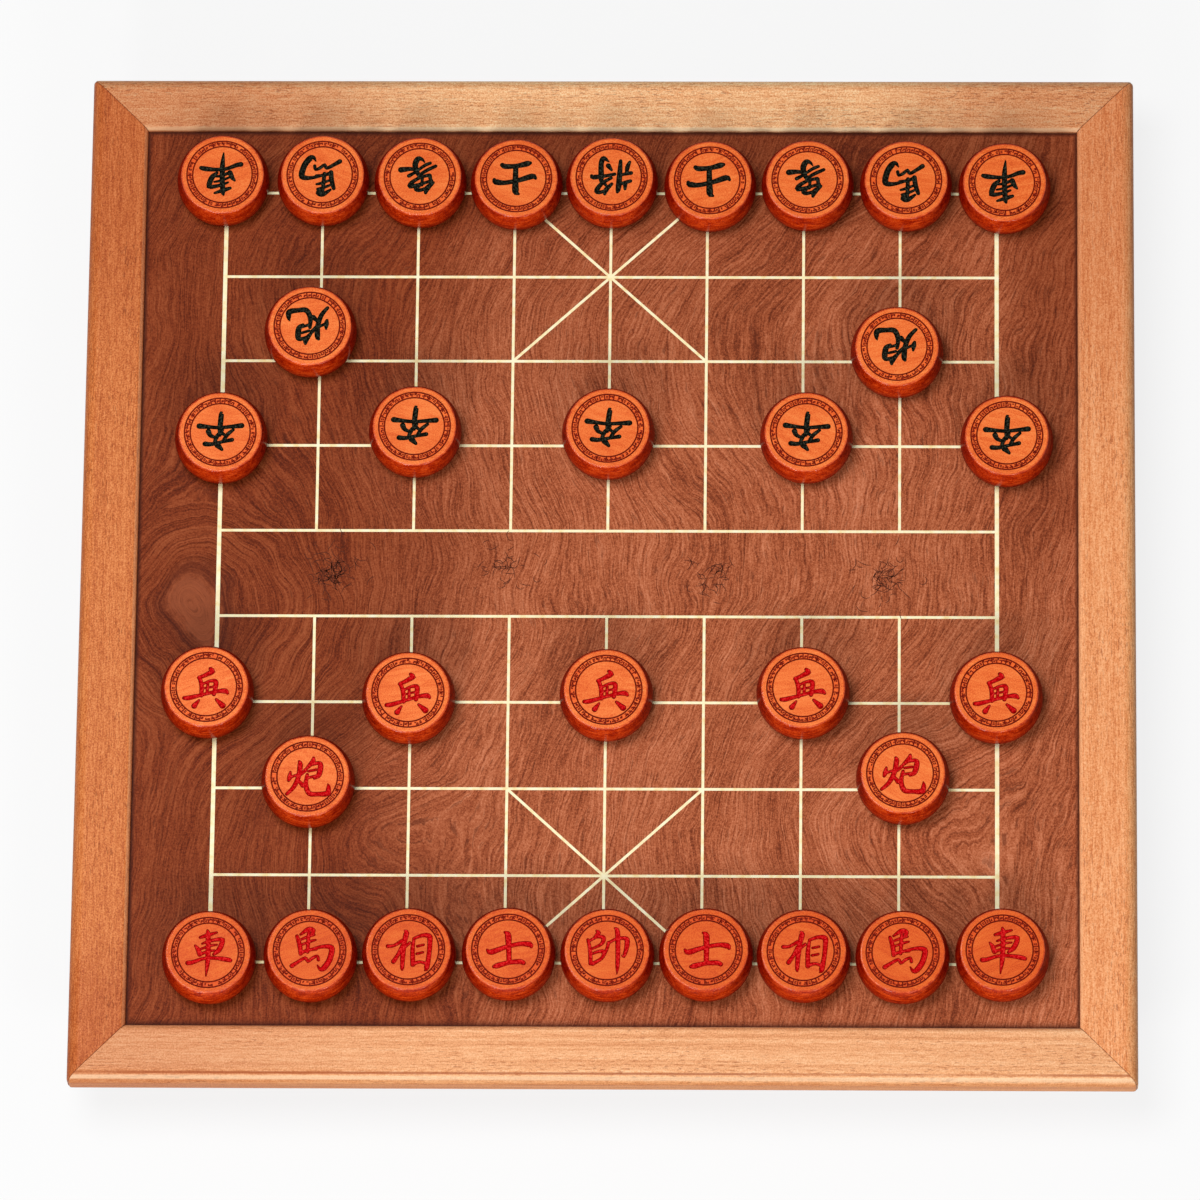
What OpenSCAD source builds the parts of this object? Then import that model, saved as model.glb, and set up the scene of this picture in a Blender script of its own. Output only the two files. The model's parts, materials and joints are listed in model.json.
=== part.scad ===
// Board box for Chinese chess, laid out for a game.
// A mitred frame holds the playing panel, a low case below it holds two
// drawers for the pieces, and the thirty-two pieces stand on the panel.
// Millimetres. The origin is under the middle of the box, on the table.
// +Z is up, -Y is the side of the red player and -X is that player's left.

/* [Frame] */
// Board width over the rails, left to right
board_w = 460; // [400:5:540]
// Board depth over the rails, near to far
board_d = 460; // [400:5:540]
// Width of a frame rail
rail_w = 25; // [22:1:30]
// Height of a frame rail
rail_h = 14; // [13:1:18]
// Radius along the outer top edge of the rails
rail_round = 6; // [3:0.5:7]
// Radius along the inner top edge of the rails
rail_inner_round = 2.5; // [1:0.5:2.5]
// Radius along the outer bottom edge of the rails
rail_under_round = 1.5; // [0.5:0.5:3]

/* [Playing panel] */
// Thickness of the playing panel
panel_t = 6; // [5:0.5:8]
// Depth of the playing surface below the top of the rails
panel_drop = 3; // [2.5:0.5:5]
// Depth of the groove that holds the edge of the panel
panel_groove = 5; // [3:0.5:8]
// Room left for the panel to swell at the bottom of the groove
panel_play = 0.5; // [0.2:0.1:1]

/* [Grid] */
// Playing surface left bare beside the first and the last file
side_margin = 35.4; // [28:0.2:42]
// Playing surface left bare beyond the first and the last rank
end_margin = 28.6; // [24:0.2:36]
// Width of an inlaid line
line_w = 1.2; // [0.8:0.1:2]
// Width of the two border lines that cross the river
border_line_w = 1.8; // [1.2:0.1:3]
// Thickness of the inlaid strips
inlay_t = 1; // [0.6:0.1:2]

/* [Case] */
// Thickness of the case walls
wall_t = 12; // [9:0.5:15]
// Thickness of the base board
base_t = 3; // [3:0.5:6]
// How far the base board laps under the walls
base_lap = 5; // [3:0.5:7]
// Height of the strip of wall above a drawer
lintel_h = 3; // [3:0.5:8]
// Thickness of the divider between the drawers
divider_t = 8; // [6:1:14]
// Width and height of a drawer guide
guide_s = 8; // [6:1:14]
// Diameter of a felt foot
foot_d = 20; // [14:1:28]
// Thickness of a felt foot
foot_h = 2; // [1.5:0.5:4]
// Distance of a foot's centre from the sides of the case
foot_inset = 26; // [20:1:60]

/* [Drawers] */
// Width of the opening for a drawer
opening_w = 300; // [220:10:340]
// Gap between a drawer and the opening, on each side
side_gap = 0.7; // [0.4:0.1:1.5]
// Gap between the top of a drawer front and the opening
top_gap = 1; // [0.5:0.1:2]
// Gap between a closed drawer and the divider
rear_gap = 1; // [0.5:0.5:4]
// Thickness of the drawer front
drawer_front_t = 10; // [8:0.5:14]
// Thickness of the drawer sides and back
drawer_side_t = 8; // [5:0.5:10]
// Thickness of the drawer bottom
drawer_bottom_t = 3; // [2:0.5:5]
// Room above the pieces in a drawer
headroom = 2; // [1:0.5:6]
// How far the drawer back rises behind the lintel as a stop
stop_rise = 2; // [1:0.5:3]
// Radius of the finger notch in the drawer front
notch_r = 12; // [8:0.5:14]

/* [Pieces] */
// Room between two pieces on neighbouring files
file_gap = 1.8; // [1.6:0.2:6]
// How far the rounded flank swells past the top and bottom faces
flank_swell = 2.25; // [1:0.25:3]
// Height of a piece
piece_h = 16; // [12:0.5:20]
// Chamfer around the top and bottom faces
piece_edge = 0.5; // [0.2:0.1:0.8]
// Distance from the edge of the top face to the outer ring cut into it
ring_margin = 2; // [1.5:0.1:4]
// Distance from the outer ring to the inner ring
ring_band = 2.8; // [1.5:0.1:5]
// Width of a ring groove
ring_w = 0.6; // [0.4:0.1:1.2]
// Depth of a ring groove
ring_depth = 0.4; // [0.2:0.1:1]

/* [Hidden] */
$fn = 96;
// Overlap of a cutter with open air
eps = 0.5;

// Share of the step down to the panel that the inner round may take up
lip_share = 0.9;

// Playing field in steps of the grid
files = 9;
ranks = 10;
middle_file = (files - 1) / 2;
middle_rank = (ranks - 1) / 2;
// Ranks of the two river banks, counted from the far side
far_bank = 4;
near_bank = 5;
// First and last file, and number of ranks, of a palace
palace_files = [3, 5];
palace_ranks = 2;

// Space inside the rails, which the case walls line up with
inner_w = board_w - 2 * rail_w;
inner_d = board_d - 2 * rail_w;
case_w = inner_w + 2 * wall_t;
case_d = inner_d + 2 * wall_t;

// Distance between two files and between two ranks
cell_w = (inner_w - 2 * side_margin) / (files - 1);
cell_d = (inner_d - 2 * end_margin) / (ranks - 1);

// Diameters of a piece: at mid height, of its flat faces and of its rings
piece_d = cell_w - file_gap;
piece_face_d = piece_d - 2 * flank_swell;
ring_outer_d = piece_face_d - 2 * ring_margin;
ring_inner_d = ring_outer_d - 2 * ring_band;

// Heights of the drawer, the case and the board, from the table up
base_top = foot_h + base_t;
drawer_floor = base_top + drawer_bottom_t;
drawer_top = drawer_floor + piece_h + headroom;
opening_top = drawer_top + top_gap;
case_top = opening_top + lintel_h;
frame_top = case_top + rail_h;
panel_top = frame_top - panel_drop;
panel_under = panel_top - panel_t;

// Plan of the left drawer, which opens along -X
drawer_w = opening_w - 2 * side_gap;
drawer_front_x = -case_w / 2;
drawer_box_x = drawer_front_x + drawer_front_t;
drawer_rear_x = -divider_t / 2 - rear_gap;

// Circle that gives a piece its rounded flank
flank_r = ((piece_h / 2) ^ 2 + flank_swell ^ 2) / (2 * flank_swell);

// Each piece with its file from the left, its rank from the far side, and
// how far it was set down off the crossing, as a share of a step to the
// right and of a step to the far side
PIECES = [
    ["black_chariot_left", 0, 0, -0.03, 0.07],
    ["black_horse_left", 1, 0, 0.01, 0.07],
    ["black_elephant_left", 2, 0, 0.02, 0.05],
    ["black_advisor_left", 3, 0, 0.02, 0.03],
    ["black_general", 4, 0, 0.01, 0.05],
    ["black_advisor_right", 5, 0, 0.03, 0.01],
    ["black_elephant_right", 6, 0, 0.04, 0.02],
    ["black_horse_right", 7, 0, 0.06, 0.015],
    ["black_chariot_right", 8, 0, 0.08, -0.01],
    ["black_cannon_left", 1, 2, -0.09, 0.27],
    ["black_cannon_right", 7, 2, -0.03, 0.04],
    ["black_soldier_1", 0, 3, 0.01, 0.015],
    ["black_soldier_2", 2, 3, 0.01, 0.09],
    ["black_soldier_3", 4, 3, 0, 0.07],
    ["black_soldier_4", 6, 3, 0.04, 0.03],
    ["black_soldier_5", 8, 3, 0.1, -0.005],
    ["red_soldier_1", 0, 6, -0.07, 0.04],
    ["red_soldier_2", 2, 6, -0.01, -0.02],
    ["red_soldier_3", 4, 6, 0.01, 0.02],
    ["red_soldier_4", 6, 6, 0.02, 0.05],
    ["red_soldier_5", 8, 6, -0.01, 0.005],
    ["red_cannon_left", 1, 7, -0.02, 0.01],
    ["red_cannon_right", 7, 7, 0.04, 0.07],
    ["red_chariot_left", 0, 9, 0.01, -0.01],
    ["red_horse_left", 1, 9, 0.04, 0.015],
    ["red_elephant_left", 2, 9, 0.04, 0.03],
    ["red_advisor_left", 3, 9, 0.05, 0.04],
    ["red_general", 4, 9, 0.05, 0.03],
    ["red_advisor_right", 5, 9, 0.05, 0.04],
    ["red_elephant_right", 6, 9, 0.04, 0.03],
    ["red_horse_right", 7, 9, 0.04, 0.02],
    ["red_chariot_right", 8, 9, 0.05, 0.05]
];

BOX_NODES = [
    "frame_near_rail", "frame_far_rail", "frame_left_rail", "frame_right_rail",
    "playing_panel", "grid_inlay",
    "case_near_wall", "case_far_wall", "drawer_posts", "drawer_lintels",
    "drawer_sills", "case_base", "centre_divider", "drawer_guides", "felt_feet"
];
DRAWER_NODES = ["front", "near_side", "far_side", "back", "bottom"];

FRAME_COLOUR = [0.86, 0.53, 0.33];
PANEL_COLOUR = [0.5, 0.26, 0.17];
INLAY_COLOUR = [0.96, 0.88, 0.66];
CASE_COLOUR = [0.8, 0.47, 0.28];
BOARD_COLOUR = [0.78, 0.62, 0.42];
FELT_COLOUR = [0.12, 0.1, 0.09];
PIECE_COLOUR = [0.86, 0.36, 0.2];

// Crossing of a file and a rank of the grid
function crossing(file, rank) = [(file - middle_file) * cell_w, (middle_rank - rank) * cell_d];

// Box given by its lowest and highest corners
module block(low, high) {
    translate(low) cube(high - low);
}

// Waste outside a quarter round in the corner at the origin
module corner_cut(r) {
    difference() {
        translate([-eps, -eps]) square(r + eps);
        translate([r, r]) circle(r);
    }
}

// Section of a rail: outer edge at x = 0, underside at y = 0
module rail_section() {
    inner_round = min(rail_inner_round, lip_share * panel_drop);
    difference() {
        square([rail_w, rail_h]);
        translate([0, rail_h]) mirror([0, 1]) corner_cut(rail_round);
        translate([rail_w, rail_h]) rotate(180) corner_cut(inner_round);
        corner_cut(rail_under_round);
        translate([rail_w - panel_groove, rail_h - panel_drop - panel_t])
            square([panel_groove + eps, panel_t]);
    }
}

// Rail along the near side of a frame, mitred at both ends
module rail(len, half) {
    color(FRAME_COLOUR)
    intersection() {
        translate([-len / 2, -half, case_top])
            rotate([90, 0, 90]) linear_extrude(len) rail_section();
        translate([0, 0, case_top - eps]) linear_extrude(rail_h + 2 * eps)
            polygon([
                [-len / 2, -half], [len / 2, -half],
                [len / 2 - rail_w, -half + rail_w], [-len / 2 + rail_w, -half + rail_w]
            ]);
    }
}

module frame_near_rail() {
    rail(board_w, board_d / 2);
}

module frame_far_rail() {
    rotate(180) rail(board_w, board_d / 2);
}

module frame_left_rail() {
    rotate(-90) rail(board_d, board_w / 2);
}

module frame_right_rail() {
    rotate(90) rail(board_d, board_w / 2);
}

// One inlaid line between two points, with square ends half a width past them
module line(from, to, w) {
    run = to - from;
    translate(from) rotate(atan2(run[1], run[0]))
        translate([-w / 2, -w / 2]) square([norm(run) + w, w]);
}

module grid_plan() {
    last_file = files - 1;
    last_rank = ranks - 1;
    // Two border lines, straight across the river
    for (file = [0, last_file])
        line(crossing(file, 0), crossing(file, last_rank), border_line_w);
    // The files between them, which stop at the banks
    for (file = [1 : last_file - 1]) {
        line(crossing(file, 0), crossing(file, far_bank), line_w);
        line(crossing(file, near_bank), crossing(file, last_rank), line_w);
    }
    for (rank = [0 : last_rank])
        line(crossing(0, rank), crossing(last_file, rank), line_w);
    // The two diagonals of each palace
    for (rank = [0, last_rank - palace_ranks]) {
        line(crossing(palace_files[0], rank), crossing(palace_files[1], rank + palace_ranks), line_w);
        line(crossing(palace_files[1], rank), crossing(palace_files[0], rank + palace_ranks), line_w);
    }
}

module grid_inlay() {
    color(INLAY_COLOUR)
    translate([0, 0, panel_top - inlay_t]) linear_extrude(inlay_t) grid_plan();
}

module playing_panel() {
    reach = panel_groove - panel_play;
    color(PANEL_COLOUR)
    difference() {
        block([-inner_w / 2 - reach, -inner_d / 2 - reach, panel_under],
              [inner_w / 2 + reach, inner_d / 2 + reach, panel_top]);
        translate([0, 0, panel_top - inlay_t]) linear_extrude(inlay_t + eps) grid_plan();
    }
}

// Space of the base board, let in under the walls
module base_space() {
    block([-inner_w / 2 - base_lap, -inner_d / 2 - base_lap, foot_h],
          [inner_w / 2 + base_lap, inner_d / 2 + base_lap, base_top]);
}

module case_base() {
    color(BOARD_COLOUR) base_space();
}

module case_wall_along_x() {
    color(CASE_COLOUR)
    difference() {
        block([-case_w / 2, -case_d / 2, foot_h], [case_w / 2, -inner_d / 2, case_top]);
        base_space();
    }
}

module case_near_wall() {
    case_wall_along_x();
}

module case_far_wall() {
    rotate(180) case_wall_along_x();
}

// Repeats the left side of the box on the right
module both_sides() {
    children();
    mirror([1, 0, 0]) children();
}

// Wall of the left side, before it is parted around the drawer
module side_wall_part(y_low, y_high, z_low, z_high) {
    difference() {
        block([-case_w / 2, y_low, z_low], [-inner_w / 2, y_high, z_high]);
        base_space();
    }
}

// Full-height wall at both ends of each drawer opening
module drawer_posts() {
    color(CASE_COLOUR)
    both_sides() {
        side_wall_part(-inner_d / 2, -opening_w / 2, foot_h, case_top);
        side_wall_part(opening_w / 2, inner_d / 2, foot_h, case_top);
    }
}

module drawer_lintels() {
    color(CASE_COLOUR)
    both_sides() side_wall_part(-opening_w / 2, opening_w / 2, opening_top, case_top);
}

module drawer_sills() {
    color(CASE_COLOUR)
    both_sides() side_wall_part(-opening_w / 2, opening_w / 2, foot_h, base_top);
}

module centre_divider() {
    color(CASE_COLOUR)
    block([-divider_t / 2, -inner_d / 2, base_top], [divider_t / 2, inner_d / 2, panel_under]);
}

// Strips on the base board that keep the drawers straight
module drawer_guides() {
    color(BOARD_COLOUR)
    both_sides()
        for (y_low = [-opening_w / 2 - guide_s, opening_w / 2])
            block([-inner_w / 2, y_low, base_top],
                  [-divider_t / 2, y_low + guide_s, base_top + guide_s]);
}

module felt_feet() {
    color(FELT_COLOUR)
    for (x = [-1, 1], y = [-1, 1])
        translate([x * (case_w / 2 - foot_inset), y * (case_d / 2 - foot_inset), 0])
            cylinder(d = foot_d, h = foot_h);
}

module left_drawer_front() {
    color(CASE_COLOUR)
    difference() {
        block([drawer_front_x, -drawer_w / 2, base_top], [drawer_box_x, drawer_w / 2, drawer_top]);
        translate([drawer_front_x - eps, 0, drawer_top]) rotate([0, 90, 0])
            cylinder(r = notch_r, h = drawer_front_t + 2 * eps);
    }
}

module left_drawer_near_side() {
    color(BOARD_COLOUR)
    block([drawer_box_x, -drawer_w / 2, drawer_floor],
          [drawer_rear_x, -drawer_w / 2 + drawer_side_t, drawer_top]);
}

module left_drawer_far_side() {
    mirror([0, 1, 0]) left_drawer_near_side();
}

// The back rises behind the lintel, so the drawer can't be pulled right out
module left_drawer_back() {
    color(BOARD_COLOUR)
    block([drawer_rear_x - drawer_side_t, -drawer_w / 2 + drawer_side_t, drawer_floor],
          [drawer_rear_x, drawer_w / 2 - drawer_side_t, opening_top + stop_rise]);
}

module left_drawer_bottom() {
    color(BOARD_COLOUR)
    block([drawer_box_x, -drawer_w / 2, base_top], [drawer_rear_x, drawer_w / 2, drawer_floor]);
}

module right_drawer_front() {
    rotate(180) left_drawer_front();
}

module right_drawer_near_side() {
    rotate(180) left_drawer_far_side();
}

module right_drawer_far_side() {
    rotate(180) left_drawer_near_side();
}

module right_drawer_back() {
    rotate(180) left_drawer_back();
}

module right_drawer_bottom() {
    rotate(180) left_drawer_bottom();
}

// Half section of a piece, with its chamfered faces and the two ring grooves
module piece_section() {
    difference() {
        intersection() {
            square([piece_d / 2, piece_h]);
            translate([piece_d / 2 - flank_r, piece_h / 2]) circle(flank_r);
        }
        for (z = [0, 1])
            translate([piece_face_d / 2, z * piece_h]) rotate(45)
                square(piece_edge * sqrt(2), center = true);
        for (d = [ring_outer_d, ring_inner_d])
            translate([d / 2 - ring_w / 2, piece_h - ring_depth])
                square([ring_w, ring_depth + eps]);
    }
}

module game_piece(p) {
    color(PIECE_COLOUR)
    translate([0, 0, panel_top]) translate(crossing(p[1] + p[3], p[2] - p[4]))
        rotate_extrude() piece_section();
}

frame_near_rail();
frame_far_rail();
frame_left_rail();
frame_right_rail();
playing_panel();
grid_inlay();
case_near_wall();
case_far_wall();
drawer_posts();
drawer_lintels();
drawer_sills();
case_base();
centre_divider();
drawer_guides();
felt_feet();
left_drawer_front();
left_drawer_near_side();
left_drawer_far_side();
left_drawer_back();
left_drawer_bottom();
right_drawer_front();
right_drawer_near_side();
right_drawer_far_side();
right_drawer_back();
right_drawer_bottom();
for (p = PIECES) game_piece(p);
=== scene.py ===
"""Looks of a Chinese chess board box: light, camera, woods, inlay and engraved pieces.

Lengths in the code are metres, or millimetres where a name or comment says so.
"""

import json
import math
import random

import bmesh
import bpy
import numpy as np
from mathutils import Matrix, Vector, geometry

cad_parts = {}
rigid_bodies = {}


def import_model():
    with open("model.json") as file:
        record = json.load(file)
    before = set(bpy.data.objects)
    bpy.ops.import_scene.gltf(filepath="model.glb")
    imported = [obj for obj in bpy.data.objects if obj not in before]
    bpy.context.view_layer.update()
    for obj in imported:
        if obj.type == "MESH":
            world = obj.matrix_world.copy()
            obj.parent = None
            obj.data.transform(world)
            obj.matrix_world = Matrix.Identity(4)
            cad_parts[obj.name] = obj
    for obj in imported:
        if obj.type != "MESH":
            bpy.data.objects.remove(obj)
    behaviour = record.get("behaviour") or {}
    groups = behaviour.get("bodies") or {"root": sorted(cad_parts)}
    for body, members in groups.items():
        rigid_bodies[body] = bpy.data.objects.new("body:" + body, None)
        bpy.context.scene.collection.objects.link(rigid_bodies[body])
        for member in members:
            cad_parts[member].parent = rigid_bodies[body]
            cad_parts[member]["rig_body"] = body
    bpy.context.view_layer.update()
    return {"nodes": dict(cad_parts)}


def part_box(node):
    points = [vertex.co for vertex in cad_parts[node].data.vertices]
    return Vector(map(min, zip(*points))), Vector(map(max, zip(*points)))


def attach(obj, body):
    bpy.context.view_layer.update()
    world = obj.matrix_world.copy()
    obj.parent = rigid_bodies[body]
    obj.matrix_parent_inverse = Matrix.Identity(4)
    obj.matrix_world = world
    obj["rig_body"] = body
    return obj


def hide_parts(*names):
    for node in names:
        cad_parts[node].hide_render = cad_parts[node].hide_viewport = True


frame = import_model()

MM = 0.001


# Colour and shader helpers

def srgb(red, green, blue):
    """Linear colour of an 8-bit sRGB one."""
    def linear(value):
        value /= 255
        return value / 12.92 if value <= 0.04045 else ((value + 0.055) / 1.055) ** 2.4
    return (linear(red), linear(green), linear(blue), 1.0)


class Shader:
    """A new node material, or an owner's nodes, built from small steps that each return a socket."""

    def __init__(self, name="", owner=None):
        self.material = owner or bpy.data.materials.new(name)
        self.material.use_nodes = True
        self.tree = self.material.node_tree
        self.surface = self.tree.nodes.get("Principled BSDF")

    def add(self, kind, **inputs):
        return self.fill(self.tree.nodes.new(kind), inputs)

    def fill(self, node, inputs):
        for name, value in inputs.items():
            self.link(value, node.inputs[name.replace("_", " ")])
        return node

    def link(self, value, socket):
        if isinstance(value, bpy.types.NodeSocket):
            self.tree.links.new(value, socket)
        else:
            socket.default_value = value

    def object_coords(self):
        return self.add("ShaderNodeTexCoord").outputs["Object"]

    def attribute(self, name, output="Fac"):
        node = self.add("ShaderNodeAttribute")
        node.attribute_name = name
        return node.outputs[output]

    def seen(self):
        """1 for the rays that show a thing as it is: the camera's, and those of reflections and glass."""
        path = self.add("ShaderNodeLightPath")
        found = path.outputs["Is Camera Ray"]
        for ray in ("Is Glossy Ray", "Is Transmission Ray"):
            found = self.math("MAXIMUM", found, path.outputs[ray])
        return found

    def mapping(self, vector, scale=(1, 1, 1), turn=0.0, shift=(0, 0, 0)):
        node = self.add(
            "ShaderNodeMapping", Vector=vector, Location=shift, Rotation=(0, 0, turn), Scale=scale)
        return node.outputs["Vector"]

    def noise(self, vector, scale, detail=2.0, rough=0.5, distortion=0.0, output="Fac", shift=(0, 0, 0)):
        """Noise of one scale, or of a scale for each axis and moved by shift."""
        if isinstance(scale, tuple):
            vector = self.mapping(vector, scale, shift=shift)
            scale = 1.0
        node = self.add("ShaderNodeTexNoise", Vector=vector, Scale=scale, Detail=detail, Roughness=rough,
                        Distortion=distortion)
        return node.outputs[output]

    def drift(self, place, scale, detail, reach, rough=0.5):
        """Wandering shift along x and y, from noise of a scale."""
        noise = self.noise(place, scale, detail, rough, output="Color")
        return self.vector("MULTIPLY", self.vector("SUBTRACT", noise, (0.5, 0.5, 0.5)), (*reach, 0.0))

    def math(self, operation, first, second=0.0, third=0.0, clamp=False):
        node = self.add("ShaderNodeMath")
        node.operation = operation
        node.use_clamp = clamp
        for value, socket in zip((first, second, third), node.inputs):
            self.link(value, socket)
        return node.outputs[0]

    def times(self, first, second):
        return self.math("MULTIPLY", first, second)

    def minus(self, first, second):
        return self.math("SUBTRACT", first, second)

    def farther(self, x, y):
        """The larger of two distances from the middle."""
        return self.math("MAXIMUM", self.math("ABSOLUTE", x), self.math("ABSOLUTE", y))

    def times_add(self, first, second, base):
        """first times second, added to base."""
        return self.math("MULTIPLY_ADD", first, second, base)

    def vary(self, tone, *parts):
        """Adds noises to a tone, each as (noise, share), so that their middle changes nothing."""
        for part, share in parts:
            tone = self.times_add(self.minus(part, 0.5), share, tone)
        return tone

    def vector(self, operation, first, second=(0, 0, 0)):
        node = self.add("ShaderNodeVectorMath")
        node.operation = operation
        self.link(first, node.inputs[0])
        self.link(second, node.inputs[1])
        return node.outputs["Value" if operation == "LENGTH" else "Vector"]

    def split(self, vector):
        return tuple(self.add("ShaderNodeSeparateXYZ", Vector=vector).outputs)

    def join(self, x, y, z=0.0):
        return self.add("ShaderNodeCombineXYZ", X=x, Y=y, Z=z).outputs[0]

    def span(self, value, low, high, out_low=0.0, out_high=1.0, smooth=True):
        """Maps low..high to out_low..out_high, clamped."""
        node = self.add("ShaderNodeMapRange", Value=value, From_Min=low, From_Max=high, To_Min=out_low,
                        To_Max=out_high)
        node.interpolation_type = "SMOOTHSTEP" if smooth else "LINEAR"
        return node.outputs["Result"]

    def ramp(self, value, stops):
        node = self.add("ShaderNodeValToRGB", Fac=value)
        points = node.color_ramp.elements
        while len(points) < len(stops):
            points.new(0.5)
        for point, (place, colour) in zip(points, stops):
            point.position = place
            point.color = colour
        return node.outputs["Color"]

    def mix(self, share, first, second, blend="MIX"):
        node = self.add("ShaderNodeMix")
        node.data_type = "RGBA"
        node.blend_type = blend
        # The colour sockets come after the float and vector ones
        self.link(share, node.inputs[0])
        self.link(first, node.inputs[6])
        self.link(second, node.inputs[7])
        return node.outputs[2]

    def stain(self, share, colour, factors):
        """Multiplies a colour by three factors, at a share."""
        return self.mix(share, colour, self.mix(1.0, colour, (*factors, 1), "MULTIPLY"))

    def bump(self, height, distance, strength):
        node = self.add("ShaderNodeBump", Height=height, Strength=strength, Distance=distance)
        return node.outputs["Normal"]

    def finish(self, colour, roughness, normal=None, **inputs):
        """Sets the surface, with values that are the same all over straight on its sockets."""
        if normal is not None:
            inputs["Normal"] = normal
        self.fill(self.surface, {"Base Color": colour, "Roughness": roughness, **inputs})
        return self.material


# Measures of the box, read from the frame

PANEL_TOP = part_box("playing_panel")[1].z
RAIL_LOW, RAIL_TOP = (corner.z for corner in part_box("frame_near_rail"))
HALF_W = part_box("frame_near_rail")[1].x
HALF_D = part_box("frame_left_rail")[1].y
RAIL_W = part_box("frame_left_rail")[1].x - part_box("frame_left_rail")[0].x
PANEL_SEEN = HALF_W - RAIL_W


# Woods

def wood_rail(name, dark, mid, light, fleck, streak, lip_highlight, outer_shade_line_and_highlight=0.0, outer_round_painted_light=0.0, ends=()):
    """Straight-grained frame wood with short dark pores, grain along the first axis of "grain".

    streak is the strength of its long lines; the next three are the strengths of the painted highlight on
    its inner lip, of the painted shade that makes the outer side redder and darker, with a scored line
    above it and a painted highlight along the outer round, and of painted light that makes the outer round
    lighter. ends says where painted shade grows deeper towards the ends of the rail: the axis, where along
    it that starts and is full, and its share.
    """
    s = Shader(name)
    grain = s.attribute("grain", "Vector")
    bands = s.noise(grain, (2.5, 130, 130), 4, 0.6, 0.3)
    cloud = s.noise(grain, (28, 90, 90), 2, 0.5, 0.3)
    fibre = s.noise(grain, (110, 1300, 1300), 3, 0.75)
    speck = s.noise(grain, 1400.0, 2, 0.8)
    lines = s.noise(grain, (4, 480, 480), 3, 0.6, 0.2, shift=(2, 7, 5))
    tone = s.vary(
        0.5, (bands, 0.11 * streak), (lines, 0.24 * streak), (cloud, 0.03), (fibre, 0.30), (speck, 0.42))
    colour = s.ramp(tone, [(0.41, dark), (0.5, mid), (0.59, light)])
    pore_place = s.noise(grain, (300, 1500, 1500), 2, 0.5, shift=(7, 3, 1))
    pores = s.span(pore_place, 0.57, 0.67)
    patches = s.span(s.noise(grain, (18, 70, 70), 2, shift=(1, 5, 2)), 0.38, 0.64)
    colour = s.mix(s.times(pores, s.times_add(patches, 0.45, 0.14)), colour, fleck)
    # Painted highlight along the inner lip
    colour = s.mix(s.times(s.attribute("lip"), lip_highlight), colour, srgb(255, 232, 190))
    x, y, z = place = s.split(s.object_coords())
    # Painted shade, deeper towards the ends of the rail
    for axis, start, full, share in ends:
        colour = s.stain(s.span(place[axis], start, full, 0.0, share), colour, (0.72, 0.53, 0.46))
    # Painted shade: the outer side below the top is darker and redder
    low = s.span(z, RAIL_TOP - 0.001, RAIL_TOP - 0.006, 0.0, outer_shade_line_and_highlight)
    colour = s.stain(low, colour, (1.05, 0.80, 0.56))
    # How far in from the outer edge of the frame
    out = s.minus(HALF_W, s.farther(x, y))
    # Painted light that makes the outer round lighter
    rim = s.span(out, 0.0060, 0.0015, 0.0, outer_round_painted_light)
    colour = s.stain(rim, colour, (1.08, 1.22, 1.26))
    scored = s.times(s.span(out, 0.0029, 0.0035), s.span(out, 0.0045, 0.0039, 0.0, outer_shade_line_and_highlight))
    broken = s.span(s.noise(grain, (7, 1, 1), 3, 0.6, shift=(4, 0, 0)), 0.42, 0.6, 0.25, 0.85)
    colour = s.mix(s.times(scored, broken), colour, srgb(152, 68, 32))
    # Painted highlight along the outer round
    outer_round_highlight = s.times(s.span(out, 0.0008, 0.0015), s.span(out, 0.0030, 0.0022, 0.0, outer_shade_line_and_highlight))
    colour = s.mix(s.times(outer_round_highlight, 0.5), colour, srgb(255, 224, 186))
    # Painted shade at the foot of the inner lip, and dark joints along the mitres
    colour = s.mix(s.times(s.attribute("lip_shade_and_joint"), 0.85), colour, srgb(84, 26, 12))
    height = s.minus(s.times_add(speck, 0.5, fibre), pores)
    return s.finish(colour, 0.38, s.bump(height, 0.00005, 0.7), Specular_IOR_Level=0.08)


def wood_plain(name, dark, light, along, roughness):
    """Wood of the case and drawers, in object coordinates, with its grain along X or Y."""
    s = Shader(name)
    turn = 0.0 if along == "x" else math.pi / 2
    place = s.mapping(s.object_coords(), turn=turn)
    bands = s.noise(place, (4, 70, 70), 3, 0.55, 0.8)
    fibre = s.noise(place, (60, 900, 900), 3, 0.65)
    pores = s.span(s.noise(place, (220, 1000, 1000), 1, 0.4), 0.64, 0.74)
    tone = s.vary(bands, (fibre, 0.4))
    colour = s.ramp(tone, [(0.32, dark), (0.68, light)])
    colour = s.mix(s.times(pores, 0.5), colour, dark)
    height = s.minus(s.times(fibre, 0.6), pores)
    return s.finish(colour, roughness, s.bump(height, 0.00006, 0.6), Specular_IOR_Level=0.15)


# The knot by the left rail: its centre, and the half axes of the rings that lie inside it, in metres
KNOT_PLACE = (-0.181, -0.018)
KNOT_REACH = (0.043, 0.050)
KNOT_RINGS = 0.085
# Half axes of its plain heart
HEART_REACH = (0.0100, 0.0150)
# Middle of the darker patch below it
SHADE_PLACE = (-0.192, -0.062)
# How far the grain lines elsewhere lean to the right
GRAIN_LEAN = -0.22

# Where the grain lines of the panel swell out: centre, reach and rise, in metres
PANEL_SWELLS = [
    ((-0.118, -0.115), (0.055, 0.045), 0.05),
    ((0.118, -0.115), (0.060, 0.045), 0.055),
    ((0.020, 0.105), (0.120, 0.070), 0.05),
    ((-0.150, 0.150), (0.050, 0.060), 0.04),
]


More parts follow.
